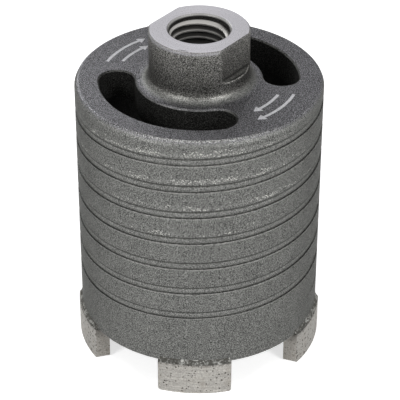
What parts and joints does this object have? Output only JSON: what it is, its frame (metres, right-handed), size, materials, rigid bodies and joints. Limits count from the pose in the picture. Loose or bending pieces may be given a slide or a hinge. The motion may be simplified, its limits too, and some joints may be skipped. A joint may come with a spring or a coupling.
{
  "type": "diamond core bit",
  "caption": "Short dry core bit: steel cup with helical dust groove, kidney slots, spanner flats, threaded hub and brazed diamond segments on the rim.",
  "frame": {"origin": "on the bit's axis, in the plane of the segments' cutting faces", "axes": "+Z along the axis from the cutting faces towards the threaded hub; the middle of segment_1 lies 92 degrees clockwise of +X seen from above"},
  "size_m": [0.068, 0.0671, 0.0946],
  "materials": {
    "forged_steel": "shot-blasted forged steel, turned bright on the hub's top face",
    "sintered_segment": "sintered metal bond with diamond grit, ground matt",
    "braze_metal": "silver solder, beady and dull"
  },
  "bodies": {
    "root": {"cup_body": "forged_steel", "segment_1": "sintered_segment", "segment_2": "sintered_segment", "segment_3": "sintered_segment", "segment_4": "sintered_segment", "segment_5": "sintered_segment", "braze_seam_1": "braze_metal", "braze_seam_2": "braze_metal", "braze_seam_3": "braze_metal", "braze_seam_4": "braze_metal", "braze_seam_5": "braze_metal"}
  },
  "joints": []
}
